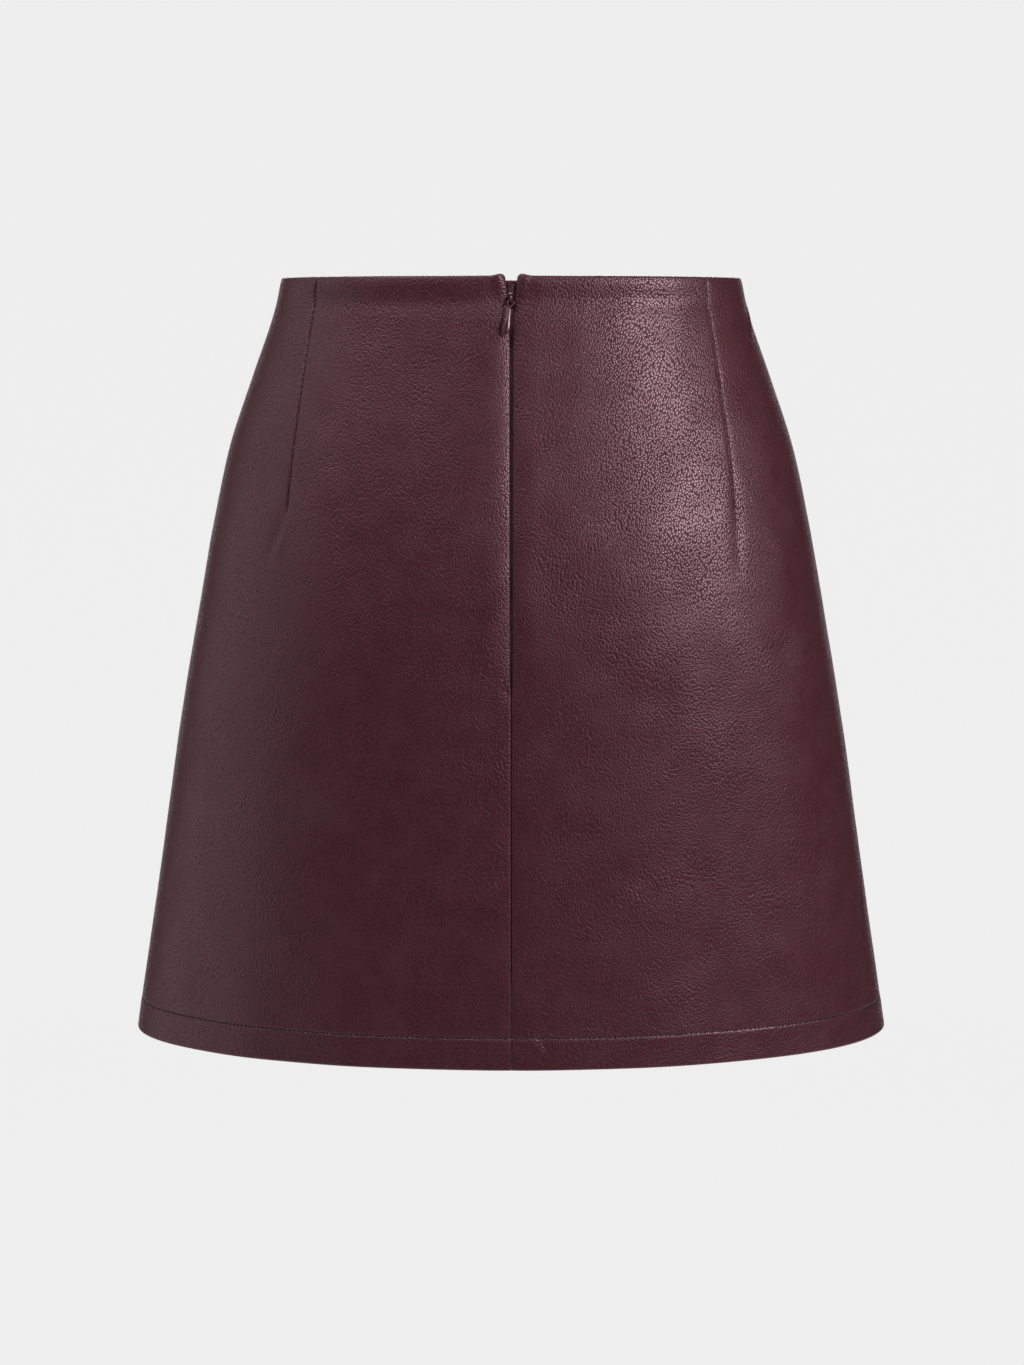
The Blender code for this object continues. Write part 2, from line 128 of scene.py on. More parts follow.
# Creases that stand out (+) or sink (-) on the leather: half, height, half width, and a path of
# points, each its distance round from the half's middle (+ is the wearer's right) and its drop.
CREASES = (
    # the valley below each back dart
    ("back", -0.0008, 0.0035, ((0.1232, 0.103), (0.1246, 0.127), (0.1247, 0.155))),
    ("back", -0.0008, 0.0035, ((-0.1236, 0.116), (-0.1290, 0.134), (-0.1357, 0.147))),
    ("back", 0.0003, 0.0020, ((-0.1215, 0.128), (-0.1275, 0.142), (-0.1330, 0.152))),
    # under the waist at the sides
    ("back", 0.0010, 0.0015, ((0.1680, 0.015), (0.1540, 0.031), (0.1370, 0.042))),
    # on the side, low down
    ("back", -0.0006, 0.0030, ((0.2330, 0.325), (0.2290, 0.350), (0.2275, 0.370))),
    # puckers at the end of the zip and at the hem
    ("back", -0.0005, 0.0014, ((-0.0045, 0.2110), (-0.0015, 0.2160), (0.0010, 0.2185))),
    ("back", 0.0011, 0.0015, ((0.0110, 0.3915), (0.0135, 0.3965), (0.0170, 0.4020))),
    ("back", -0.0005, 0.0012, ((0.0145, 0.3935), (0.0180, 0.3975), (0.0200, 0.4010))),
    ("back", 0.0003, 0.0012, ((0.0806, 0.3945), (0.0960, 0.3935), (0.1113, 0.3927))),
    # the hidden front, with much the same marks
    ("front", -0.0007, 0.0034, ((0.1000, 0.082), (0.1035, 0.100), (0.1050, 0.122))),
    ("front", -0.0007, 0.0034, ((-0.0990, 0.080), (-0.1060, 0.097), (-0.1130, 0.108))),
    ("front", 0.0003, 0.0020, ((-0.0960, 0.092), (-0.1020, 0.106), (-0.1080, 0.116))),
    ("front", 0.0005, 0.0022, ((-0.1500, 0.018), (-0.1400, 0.027), (-0.1300, 0.036))),
    ("front", -0.0006, 0.0030, ((0.2020, 0.318), (0.1990, 0.344), (0.1980, 0.362))),
    ("front", 0.0008, 0.0015, ((-0.0560, 0.3915), (-0.0590, 0.3960), (-0.0600, 0.4015))),
    ("front", -0.0004, 0.0012, ((0.0710, 0.3935), (0.0740, 0.3970), (0.0750, 0.4010))),
)


def hermite(rows, column, drops):
    """A table's column at the given drops, on a smooth curve through its rows."""
    knots = np.array([row[0] for row in rows])
    values = np.array([row[column] for row in rows])
    slopes = np.gradient(values, knots)
    low = np.clip(np.searchsorted(knots, drops) - 1, 0, len(knots) - 2)
    span = knots[low + 1] - knots[low]
    t = (drops - knots[low]) / span
    return ((1 + 2 * t) * (1 - t) ** 2 * values[low] + t * (1 - t) ** 2 * span * slopes[low]
            + t * t * (3 - 2 * t) * values[low + 1] + t * t * (t - 1) * span * slopes[low + 1])


def steps(rows, drops):
    """A table of drops and values, read in straight lines between its rows."""
    return np.interp(drops, [row[0] for row in rows], [row[1] for row in rows])


def smooth(value):
    """0 below 0, 1 above 1, and a soft step between."""
    value = np.clip(value, 0.0, 1.0)
    return value * value * (3.0 - 2.0 * value)


def bell(value, centre, width):
    """1 at the centre, dying away softly on both sides over about the width."""
    return np.exp(-((value - centre) / width) ** 2)


def ring(drop):
    """Half a ring of the form: distances round from the centre back, X, Y, and the side seam's."""
    turns = np.linspace(0.0, math.pi, RING_STEPS + 1)
    width, back, front, square = (
        float(hermite(SECTIONS, column, np.array([drop]))[0]) for column in (1, 2, 3, 4))
    power = 2.0 / square
    depth = np.where(np.cos(turns) > 0, back, front)
    across = width * np.abs(np.sin(turns)) ** power
    along = -depth * np.sign(np.cos(turns)) * np.abs(np.cos(turns)) ** power
    arcs = np.concatenate(([0.0], np.cumsum(np.hypot(np.diff(across), np.diff(along)))))
    return arcs, across, along, float(np.interp(math.pi / 2, turns, arcs))


RINGS = {}


def cached_ring(drop):
    """The ring at a drop, worked out once."""
    key = round(float(drop), 7)
    if key not in RINGS:
        RINGS[key] = ring(key)
    return RINGS[key]


def seam_arc(drop):
    """Distance from the centre back to the side seam at a drop."""
    return cached_ring(drop)[3]


def half_girth(drop):
    """Distance from the centre back to the centre front at a drop."""
    return float(cached_ring(drop)[0][-1])


def sides(arcs, girth):
    """Each arc's side of the skirt, and its distance round from the centre back."""
    side = np.sign(arcs) + (arcs == 0)
    reach = np.abs(arcs)
    over = reach > girth
    return np.where(over, -side, side), np.where(over, 2 * girth - reach, reach)


def bare_points(arcs, drops):
    """Points of the bare form.

    Arcs is rows by columns, signed from the centre back, with one drop a row."""
    points = np.empty(arcs.shape + (3,))
    for row, drop in enumerate(drops):
        lengths, across, along, _ = cached_ring(drop)
        side, reach = sides(arcs[row], lengths[-1])
        points[row, :, 0] = side * np.interp(reach, lengths, across)
        points[row, :, 1] = np.interp(reach, lengths, along)
        points[row, :, 2] = -drop
    return points


def fold_height(arcs, drops):
    """How far the soft folds of the form stand out."""
    height = np.zeros_like(arcs)
    for row, drop in enumerate(drops):
        seam, middle = seam_arc(drop), half_girth(drop)
        side, reach = sides(arcs[row], middle)
        at_back = reach <= seam
        place = side * np.where(at_back, reach / seam, (middle - reach) / (middle - seam))
        for half, centre, width, top, start in FOLDS:
            growth = smooth(max(drop - start, 0.0) / (LENGTH - start))
            fold = top * bell(place, centre, width) * growth
            height[row] += np.where(at_back == (half == "back"), fold, 0.0)
    return height


CREASE_END = 0.02           # share of a crease's length over which its ends keep a little height
CREASE_FADE = 0.6           # how fast a crease gains height from its ends


def crease_height(half, arcs, drops):
    """The listed creases of one half. Arcs are signed from that half's middle."""
    height = np.zeros_like(arcs)
    spots = np.stack((arcs, np.broadcast_to(drops[:, None], arcs.shape)), -1)
    for owner, top, width, path in CREASES:
        if owner != half:
            continue
        corners = np.array(path)
        legs = np.diff(corners, axis=0)
        marks = np.concatenate(([0.0], np.cumsum(np.linalg.norm(legs, axis=1))))
        nearest = np.full(arcs.shape, np.inf)
        way = np.zeros_like(arcs)
        for corner, leg, mark, end in zip(corners, legs, marks, marks[1:]):
            t = np.clip(((spots - corner) @ leg) / (leg @ leg), 0.0, 1.0)
            gap = np.linalg.norm(spots - corner - t[..., None] * leg, axis=-1)
            closer = gap < nearest
            nearest = np.where(closer, gap, nearest)
            way = np.where(closer, (mark + t * (end - mark)) / marks[-1], way)
        swell = np.sin(np.pi * np.clip(way, CREASE_END, 1.0 - CREASE_END)) ** CREASE_FADE
        height += top * bell(nearest, 0.0, width) * swell
    return height


EDGE_ROLL = (               # distance from a centre back edge, and how far the leather stands out
    (0.0000, -0.0014),
    (0.0030, -0.0005),
    (0.0060, 0.0001),
    (0.0100, 0.0004),
    (0.0160, 0.0002),
    (0.0260, 0.0000),
)
ROLL_LOSS = (0.65, 0.190, 0.040)        # share of it lost below the zip, from which drop, how soon
# The upper corners of the backs. Each relief is a height, a place and a half width across, from
# the edge, and then down, from the waist.
LIP_RIDGE = (0.0015, 0.0040, 0.0026, 0.0000, 0.0085)
LIP_HOLLOW = (0.0006, 0.0085, 0.0030, 0.0080, 0.0060)
LIP_LEAN = 0.12             # how far the ridge leans towards the zip for each distance down
CORNER_RISE = (0.0010, 0.0020, 0.0028)
CORNER_ROUND = (0.0008, 0.0000, 0.0007)
CORNER_DEPTH = 0.0060
# The waist: height, drop and half width of the proud band, then of the hollow under it
WAIST_RIDGE = (0.00060, 0.0036, 0.0044)
WAIST_HOLLOW = (0.00065, 0.0140, 0.0050)
WAIST_LOSS = (0.75, 0.105, 0.040)       # share lost at the sides, from which distance, how soon
# The hem: height of the proud band, where it starts above the edge, its rise and its loss
HEM_BAND = 0.00018
HEM_BAND_TOP = 0.0168
HEM_RISE = 0.0030
HEM_LOSS = (0.6, 0.014)


def past_edge(arcs, drops):
    """Distance of each place from its own side's centre back edge."""
    return np.abs(arcs) - steps(ZIP_GAPS, drops)[:, None]


def edge_roll(arcs, drops):
    """The backs where they roll in towards each other over the turned edges and the zip."""
    reach = np.clip(np.abs(past_edge(arcs, drops)), 0.0, EDGE_ROLL[-1][0])
    loss, start, span = ROLL_LOSS
    share = 1.0 - loss * smooth((drops - start) / span)[:, None]
    return share * hermite(EDGE_ROLL, 1, reach)


def corner_curl(arcs, drops):
    """The upper corners of the backs, where the turnings make the leather stand up in a lip."""
    reach = past_edge(arcs, drops)
    down = drops[:, None]
    top, place, width, level, depth = LIP_RIDGE
    ridge = top * bell(reach + LIP_LEAN * down, place, width) * bell(down, level, depth)
    top, place, width, level, depth = LIP_HOLLOW
    hollow = top * bell(reach, place, width) * bell(down, level, depth)
    return np.where(reach > -FORM_STEP, ridge - hollow, 0.0)


def corner_rise(arcs, drops):
    """How far the backs' upper edge stands up beside the zip, and how its corners round off."""
    reach = np.maximum(past_edge(arcs, drops), 0.0)
    rise, cut = (top * bell(reach, place, width)
                 for top, place, width in (CORNER_RISE, CORNER_ROUND))
    return bell(drops[:, None], 0.0, CORNER_DEPTH) * (rise - cut)


def waist_band(reach, drops):
    """The double leather of the waist, a little proud, and the hollow under its raw edge.

    Reach is the distance from the middle of the half: both fade towards the side seams."""
    loss, start, span = WAIST_LOSS
    share = 1.0 - loss * smooth((np.abs(reach) - start) / span)
    ridge, hollow = (top * bell(drops[:, None], drop, width)
                     for top, drop, width in (WAIST_RIDGE, WAIST_HOLLOW))
    return share * (ridge - hollow)


def hem_band(drops):
    """The double leather of the hem, a little proud below its stitches."""
    down = drops[:, None] - (LENGTH - HEM_BAND_TOP)
    loss, span = HEM_LOSS
    band = HEM_BAND * smooth(down / HEM_RISE) * (1.0 - loss * smooth(down / span))
    return np.where(down > 0, band, 0.0)


UNDULATION = ((0.034, 0.00016), (0.015, 0.00006))       # pairs of a wavelength and a height


def undulation(points):
    """A slight unevenness of the whole sheet."""
    height = np.zeros(points.shape[:2])
    for length, top in UNDULATION:
        for row, col in np.ndindex(*height.shape):
            height[row, col] += top * noise.noise(Vector(points[row, col] / length))
    return height


def outward(arcs, drops):
    """Directions out of the bare form."""
    ahead = bare_points(arcs + FORM_STEP, drops) - bare_points(arcs - FORM_STEP, drops)
    below = (bare_points(arcs, np.minimum(drops + FORM_STEP, LENGTH))
             - bare_points(arcs, np.maximum(drops - FORM_STEP, 0.0)))
    out = np.cross(below, ahead)
    out /= np.linalg.norm(out, axis=-1, keepdims=True)
    return out


def on_form(arcs, drops, lift):
    """Points of the leather's outer face, lifted out of the form by the given heights."""
    return bare_points(arcs, drops) + outward(arcs, drops) * lift[..., None]


def fold_in(way, radius):
    """A sheet that turns under at way 0: how far along it lies, and how far in."""
    turn = np.clip(-way / radius, 0.0, math.pi)
    past = np.maximum(-way - math.pi * radius, 0.0)
    along = np.where(way >= 0, way, -radius * np.sin(turn) + past)
    return along, radius * (1.0 - np.cos(turn))


# ---- Sizes and colours ----
class SkirtSizes(bpy.types.PropertyGroup):
    """Sizes of the skirt's sheets, stitches and zip."""

    leather: FloatProperty(
        name="Leather", description="Thickness of one layer of leather", default=0.0010,
        unit="LENGTH")
    bend: FloatProperty(
        name="Bend", description="Radius at which the leather turns in", default=0.00115,
        unit="LENGTH")
    hem: FloatProperty(
        name="Hem", description="Depth of the hem's turning", default=0.018, unit="LENGTH")
    waist: FloatProperty(
        name="Waist", description="Depth of the waist's turning", default=0.012, unit="LENGTH")
    back_seam: FloatProperty(
        name="Back seam", description="Allowance at the centre back", default=0.015, unit="LENGTH")
    side_seam: FloatProperty(
        name="Side seam", description="Allowance at the side seams", default=0.010, unit="LENGTH")
    groove: FloatProperty(
        name="Dart groove", description="Depth of the groove along a dart", default=0.0011,
        unit="LENGTH")
    stitch_pitch: FloatProperty(
        name="Stitch pitch", description="From one stitch to the next", default=0.0027,
        unit="LENGTH")
    stitch_length: FloatProperty(
        name="Stitch length", description="Length of thread that shows", default=0.0019,
        unit="LENGTH")
    thread: FloatProperty(
        name="Thread", description="Thickness of the thread", default=0.0008, unit="LENGTH")
    stitch_height: FloatProperty(
        name="Stitch height", description="Hem stitches above the edge", default=0.0168,
        unit="LENGTH")
    tooth_pitch: FloatProperty(
        name="Tooth pitch", default=0.0013, unit="LENGTH",
        description="From one turn of the coil to the next")


class SkirtColours(bpy.types.PropertyGroup):
    """Colours of the skirt and of the stage."""

    leather: FloatVectorProperty(
        name="Leather", description="Face of the leather", subtype="COLOR", size=3,
        default=(0.089, 0.0195, 0.0285))
    backing: FloatVectorProperty(
        name="Backing", description="Knitted back of the leather", subtype="COLOR", size=3,
        default=(0.055, 0.030, 0.033))
    thread: FloatVectorProperty(
        name="Thread", description="Hem thread", subtype="COLOR", size=3,
        default=(0.016, 0.005, 0.007))
    tape: FloatVectorProperty(
        name="Zip tape", description="Woven zip tape", subtype="COLOR", size=3,
        default=(0.030, 0.014, 0.016))
    lacquer: FloatVectorProperty(
        name="Lacquer", description="Lacquer on the slider and the pull", subtype="COLOR", size=3,
        default=(0.115, 0.035, 0.048))
    studio: FloatProperty(
        name="Backdrop", description="Brightness of the floor and the backdrop", default=0.871,
        min=0.0, subtype="FACTOR")


def sizes():
    """The sizes in the scene."""
    return bpy.context.scene.skirt_sizes


def colours():
    """The colours in the scene."""
    return bpy.context.scene.skirt_colours


# ---- Shader maths ----
class Socket:
    """An output socket that takes part in Python arithmetic by adding Math nodes."""

    def __init__(self, shader, link):
        self.shader = shader
        self.link = link

    def maths(self, operation, first, second):
        """A Math node on two values or sockets."""
        return self.shader.node("ShaderNodeMath", {"operation": operation}, {0: first, 1: second})

    def __add__(self, other):
        return self.maths("ADD", self, other)

    __radd__ = __add__

    def __sub__(self, other):
        return self.maths("SUBTRACT", self, other)

    def __rsub__(self, other):
        return self.maths("SUBTRACT", other, self)

    def __mul__(self, other):
        return self.maths("MULTIPLY", self, other)

    __rmul__ = __mul__


class Shader:
    """A material and the one way to add nodes to it."""

    def __init__(self, name):
        self.material = bpy.data.materials.new(name)
        self.material.use_nodes = True
        self.tree = self.material.node_tree
        self.tree.nodes.clear()
        self.out = self.tree.nodes.new("ShaderNodeOutputMaterial")

    def node(self, kind, settings=None, sockets=None, give=0):
        """Add a node: its settings first, then values or links for its sockets. Give one output."""
        made = self.tree.nodes.new(kind)
        for name, value in (settings or {}).items():
            setattr(made, name, value)
        for name, value in (sockets or {}).items():
            if isinstance(value, Socket):
                self.tree.links.new(value.link, made.inputs[name])
            else:
                made.inputs[name].default_value = value
        return Socket(self, made.outputs[give])

    def soft(self, value, low, high):
        """A value from low to high as a soft step from 0 to 1."""
        return self.node("ShaderNodeMapRange", {"interpolation_type": "SMOOTHSTEP"},
                         {"Value": value, "From Min": low, "From Max": high})

    def mix(self, factor, first, second):
        """A mix of two colours."""
        return self.node("ShaderNodeMix", {"data_type": "RGBA"},
                         {0: factor, 6: first, 7: second}, 2)

    def noise(self, vector, scale, detail=2.0, roughness=0.5):
        """Noise from 0 to 1."""
        return self.node("ShaderNodeTexNoise", None, {"Vector": vector, "Scale": scale,
                                                      "Detail": detail, "Roughness": roughness})

    def waves(self, vector, direction, scale, distortion, more=None):
        """Bands from 0 to 1 that follow one another along a direction."""
        sockets = {"Vector": vector, "Scale": scale, "Distortion": distortion, **(more or {})}
        return self.node("ShaderNodeTexWave", {"wave_type": "BANDS", "bands_direction": direction},
                         sockets)

    def pebbles(self, vector, scale, feature):
        """Distance on the pattern of pebbles: to the nearest furrow, or to the pebble's centre."""
        return self.node("ShaderNodeTexVoronoi", {"feature": feature, "voronoi_dimensions": "2D"},
                         {"Vector": vector, "Scale": scale})

    def bump(self, height, strength, distance):
        """A normal from a height."""
        return self.node("ShaderNodeBump", None,
                         {"Strength": strength, "Distance": distance, "Height": height})

    def coordinates(self, layer=None):
        """Object coordinates, or the piece's own UV map in metres."""
        if layer:
            return self.node("ShaderNodeUVMap", {"uv_map": layer})
        return self.node("ShaderNodeTexCoord", give=3)

    def finish(self, sockets):
        """A Principled surface with these sockets, as the material's surface."""
        return self.show(self.node("ShaderNodeBsdfPrincipled", None, sockets))

    def show(self, surface):
        """Link a surface to the material's output."""
        self.tree.links.new(surface.link, self.out.inputs["Surface"])
        return self.material


def rgba(colour, scale=1.0):
    """A colour as four numbers, lighter or darker by a scale."""
    return (colour[0] * scale, colour[1] * scale, colour[2] * scale, 1.0)


GRAIN_SCALE = 880.0         # pebbles in a metre, about
GRAIN_DEPTH = 0.00024


def leather_face():
    """Wine-red leather: an uneven pebble grain with a soft gloss, and painted shade in the grain's
    furrows.
    """
    shader = Shader("leather_face")
    base = colours().leather
    cut = shader.coordinates("cut")
    sway = shader.node("ShaderNodeTexNoise", None, {"Vector": cut, "Scale": 24.0, "Detail": 1.0}, 1)
    swayed = shader.node("ShaderNodeVectorMath", {"operation": "MULTIPLY_ADD"},
                         {0: sway, 1: (0.016, 0.016, 0.0), 2: cut})
    pulled = shader.node("ShaderNodeMapping", {"vector_type": "POINT"},
                         {"Vector": swayed, "Rotation": (0.0, 0.0, 0.6), "Scale": (1.0, 0.72, 1.0)})
    pebble = shader.pebbles(pulled, GRAIN_SCALE, "DISTANCE_TO_EDGE")
    centre = shader.pebbles(pulled, GRAIN_SCALE, "F1")
    fine = shader.noise(cut, 2600.0, 1.0, 0.5)
    patch = shader.soft(shader.noise(cut, 26.0, 2.0, 0.55), 0.36, 0.64)
    furrow = shader.soft(pebble, 0.0, 0.16)
    top = 1.0 - shader.soft(centre, 0.12, 0.62)
    height = furrow * 0.12 + (1.0 - centre * centre) * (0.75 + patch * 0.5) + fine * 0.10
    worn = shader.noise(cut, 90.0, 3.0, 0.6)
    lit = shader.mix(shader.soft(worn, 0.3, 0.75), rgba(base), rgba(base, 1.22))
    # Painted shade: lit is the leather's own colour with random lighter patches, and base × 0.40 is
    # a shaded copy of it that fills the furrows and the pebbles' sloping sides, so only the pebble
    # tops keep the full colour.
    colour = shader.mix(furrow * 0.4 + top * 0.6, rgba(base, 0.40), lit)
    rough = 0.48 - top * 0.30 + shader.soft(worn, 0.3, 0.7) * 0.05
    return shader.finish({"Base Color": colour, "Roughness": rough,
                          "Normal": shader.bump(height, 1.0, GRAIN_DEPTH),
                          "IOR": 1.62, "Specular Tint": (1.0, 0.68, 0.74, 1.0)})


def leather_backing():
    """The brushed knit that backs the leather."""
    shader = Shader("leather_backing")
    base = colours().backing
    cut = shader.coordinates("cut")
    ragged = {"Detail": 1.0, "Detail Scale": 2.0}
    across = shader.waves(cut, "X", 260.0, 2.0, ragged)
    down = shader.waves(cut, "Y", 340.0, 3.0, ragged)
    fluff = shader.noise(cut, 1400.0, 3.0, 0.7)
    knit = across * 0.5 + down * 0.3 + fluff * 0.6
    colour = shader.mix(shader.soft(knit, 0.3, 1.1), rgba(base, 0.7), rgba(base, 1.25))
    return shader.finish({"Base Color": colour, "Roughness": 0.9,
                          "Normal": shader.bump(knit, 0.5, 0.00015), "IOR": 1.4})


def twisted_thread():
    """Dark polyester thread."""
    shader = Shader("twisted_thread")
    base = colours().thread
    ply = shader.waves(shader.coordinates(), "DIAGONAL", 900.0, 1.0)
    colour = shader.mix(ply * 0.6, rgba(base, 0.7), rgba(base, 1.4))
    return shader.finish({"Base Color": colour, "Roughness": 0.55,
                          "Normal": shader.bump(ply, 0.4, 0.00006)})


def woven_tape():
    """Plain-woven zip tape."""
    shader = Shader("woven_tape")
    base = colours().tape
    spot = shader.coordinates()
    weave = shader.waves(spot, "X", 420.0, 0.6) * shader.waves(spot, "Z", 420.0, 0.6)
    colour = shader.mix(weave, rgba(base, 0.7), rgba(base, 1.6))
    return shader.finish({"Base Color": colour, "Roughness": 0.8,
                          "Normal": shader.bump(weave, 0.5, 0.0001)})


def coil_plastic():
    """The zip's plastic coil, with light on its turns painted in as lighter speckles."""
    shader = Shader("coil_plastic")
    glint_speckle = shader.noise(shader.coordinates(), 1600.0, 2.0, 0.6)
    # Painted highlight: one fine noise speckles the colour from a dark wine to a much lighter one,
    # standing for light on the coil's turns; the same noise gives a small bump.
    colour = shader.mix(shader.soft(glint_speckle, 0.35, 0.65),
                        (0.050, 0.020, 0.024, 1.0), (0.16, 0.075, 0.085, 1.0))
    return shader.finish({"Base Color": colour, "Roughness": 0.38,
                          "Normal": shader.bump(glint_speckle, 0.3, 0.00005)})


def lacquered_metal():
    """Die-cast metal under wine-red lacquer."""
    shader = Shader("lacquered_metal")
    base = colours().lacquer
    spot = shader.coordinates()
    cloud = shader.soft(shader.noise(spot, 500.0, 3.0, 0.6), 0.3, 0.7)
    speck = shader.noise(spot, 3200.0, 2.0, 0.5)
    return shader.finish({"Base Color": shader.mix(cloud, rgba(base, 0.85), rgba(base, 1.15)),
                          "Roughness": 0.24 + cloud * 0.08,
                          "Normal": shader.bump(speck, 0.2, 0.00004),
                          "Coat Weight": 0.6, "Coat Roughness": 0.12, "Metallic": 0.35})


MATERIALS = {}


def material(maker):
    """A material, made once."""
    if maker.__name__ not in MATERIALS:
        MATERIALS[maker.__name__] = maker()
    return MATERIALS[maker.__name__]


# ---- Sheets ----
def spaced(start, stop, pitch):
    """Evenly spaced numbers from start up to but not including stop, about a pitch apart."""
    count = max(int(math.ceil((stop - start) / pitch)), 1)
    return list(np.linspace(start, stop, count + 1)[:-1])


TURNED_PITCH = 0.0025       # from one row of a turning to the next
FOLD_STEPS = 8
PAST_FOLD = (0.0, 0.0003, 0.0007, 0.0012, 0.0019, 0.0028, 0.0040)
BESIDE_DART = (0.0, 0.0002, 0.0005, 0.0009, 0.0014, 0.0021, 0.0030, 0.0042)
DART_FADE = 0.012           # distance over which a dart's groove dies away at its tip
DART_WIDTH = 0.0008
ROW_PITCH = 0.0024
STITCH_ROWS = (0.0030, 0.0004)      # how far from the stitches the rows are finer, and their pitch
HEM_ROW_PITCH = 0.0016
STITCH_DIP = (0.00050, 0.0006)      # depth and half width of the dip along the stitches


def turned_edge(depth, radius):
    """Flat distances over a turned edge, from its raw edge to the fold and a little past it."""
    fold = math.pi * radius
    turning = spaced(-(fold + depth), -fold, TURNED_PITCH)
    return turning + spaced(-fold, 0.0, fold / FOLD_STEPS) + list(PAST_FOLD)


class Cut:
    """The columns of a panel: stops at its edges and darts, with fine columns beside each.

    A column is a span's number, its share of the span's even part, and the distances from the
    span's two stops at which that part begins and ends."""

    def __init__(self, stops, edge_turnings, spans, dart_lines):
        self.stops = stops
        self.darts = dart_lines
        self.columns = []
        first, last = (turned_edge(depth, sizes().bend) for depth in edge_turnings)
        for index, count in enumerate(spans):
            leads = BESIDE_DART[1:] if index else first
            trails = BESIDE_DART if index < len(spans) - 1 else last
            lead, trail = leads[-1], trails[-1]
            self.columns += [(index, 0.0, value, 0.0) for value in leads]
            self.columns += [(index, step / count, lead, trail) for step in range(1, count)]
            self.columns += [(index, 1.0, 0.0, value) for value in reversed(trails)]

    def lay(self, drop):
        """Flat distance along, arc on the form and inset of every column at one drop."""
        radius = sizes().bend
        reach = self.stops(drop)
        flat = np.empty(len(self.columns))
        arcs = np.empty(len(self.columns))
        inset = np.zeros(len(self.columns))
        first, last = reach[0] + radius, reach[-1] - radius
        ends = [first] + list(reach[1:-1]) + [last]
        for k, (index, share, lead, trail) in enumerate(self.columns):
            start, stop = ends[index] + lead, ends[index + 1] - trail
            flat[k] = start + (stop - start) * share
            if flat[k] < first:
                along, inset[k] = fold_in(flat[k] - first, radius)
                arcs[k] = first + along
            elif flat[k] > last:
                along, inset[k] = fold_in(last - flat[k], radius)
                arcs[k] = last - along
            else:
                arcs[k] = flat[k]
        return flat, arcs, inset

    def dart_groove(self, flat, drop):
        """Depth of the grooves along the panel's darts at one drop."""
        depth = np.zeros_like(flat)
        reach = self.stops(drop)
        for index, tip in self.darts:
            fade = smooth((tip - drop) / DART_FADE)
            depth += sizes().groove * fade * np.exp(-np.abs(flat - reach[index]) / DART_WIDTH)
        return depth


def row_distances():
    """Flat distances down a panel, over the turned waist and the turned hem."""
    radius = sizes().bend
    top = turned_edge(sizes().waist, radius)
    bottom = turned_edge(sizes().hem, radius)
    start, stop = radius, LENGTH - radius
    line = LENGTH - sizes().stitch_height
    near, pitch = STITCH_ROWS
    rows = [start + value for value in top[:-1]]
    rows += spaced(start + top[-1], line - near, ROW_PITCH)
    rows += spaced(line - near, line + near, pitch)
    rows += spaced(line + near, stop - bottom[-1], HEM_ROW_PITCH)
    return rows + [stop - value for value in reversed(bottom)]


def lay_rows(distances):
    """Drop on the form and inset of every row."""
    radius = sizes().bend
    first, last = radius, LENGTH - radius
    flat = np.array(distances)
    top_along, top_inset = fold_in(flat - first, radius)
    low_along, low_inset = fold_in(last - flat, radius)
    drops = np.where(flat < first, first + top_along, np.where(flat > last, last - low_along, flat))
    inset = np.where(flat < first, top_inset, np.where(flat > last, low_inset, 0.0))
    return np.clip(drops, 0.0, LENGTH), inset


def hem_line_dip(drops, inset):
    """The leather drawn in along the hem's stitches."""
    depth, width = STITCH_DIP
    dip = depth * bell(drops, LENGTH - sizes().stitch_height, width)
    return np.where(inset < sizes().bend, dip, 0.0)


def panel_points(cut, half, middle_arc, distances):
    """A panel's rows and columns on the form: drops, flat distances along, and points."""
    drops, row_inset = lay_rows(distances)
    shape = (len(drops), len(cut.columns))
    flat, arcs, inset, groove = (np.empty(shape) for _ in range(4))
    for row, drop in enumerate(drops):
        flat[row], arcs[row], inset[row] = cut.lay(drop)
        groove[row] = cut.dart_groove(arcs[row], drop)
    reach = arcs - middle_arc(drops)[:, None]
    lift = fold_height(arcs, drops) + waist_band(reach, drops) + hem_band(drops)
    lift += crease_height(half, reach, drops)
    lift += undulation(bare_points(arcs, drops))
    if half == "back":
        lift += edge_roll(arcs, drops) + corner_curl(arcs, drops)
    lift -= groove + inset + row_inset[:, None] + hem_line_dip(drops, row_inset)[:, None]
    points = on_form(arcs, drops, lift)
    if half == "back":
        points[..., 2] += corner_rise(arcs, drops)
    return drops, flat, points


CORNER_CLEAR = 0.0012       # how near a fold the cloth of a corner is cut away
ROUND_Z = Vector((1.0, 1.0, 0.0))       # keeps what points away from the skirt's upright axis


